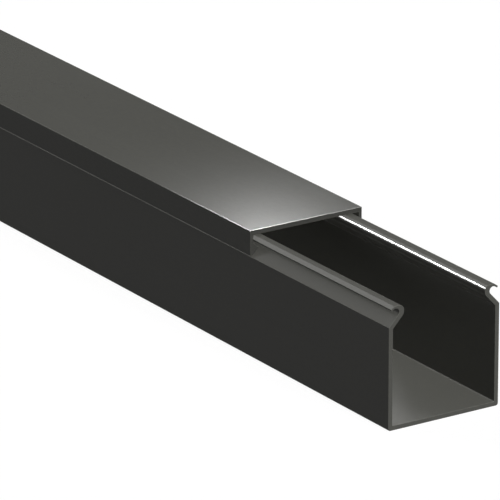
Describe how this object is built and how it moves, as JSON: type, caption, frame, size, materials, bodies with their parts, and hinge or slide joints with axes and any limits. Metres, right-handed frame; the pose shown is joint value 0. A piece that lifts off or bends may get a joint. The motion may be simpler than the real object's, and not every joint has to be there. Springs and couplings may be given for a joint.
{
  "type": "wiring duct",
  "caption": "Solid-wall plastic wiring duct: a channel with snap rails and a clip-on cover slid back from one end.",
  "frame": {"origin": "centre of the flat underside of the base, which is the mounting face", "axes": "+X along the duct and out of its open end, +Z away from the mounting face towards the cover, +Y across the duct"},
  "size_m": [1.106, 0.0586, 0.0594],
  "materials": {
    "base_pvc": "charcoal black extruded rigid PVC, satin, with fine die lines along its length",
    "cover_pvc": "charcoal black extruded rigid PVC, a little glossier on its top face"
  },
  "bodies": {
    "duct": {"duct_base": "base_pvc"},
    "clip_cover": {"cover": "cover_pvc"}
  },
  "joints": [
    {"name": "cover_slide", "type": "slide", "parent": "duct", "child": "clip_cover", "axis": [1, 0, 0], "range_m": [-0.394, 0.106]}
  ]
}
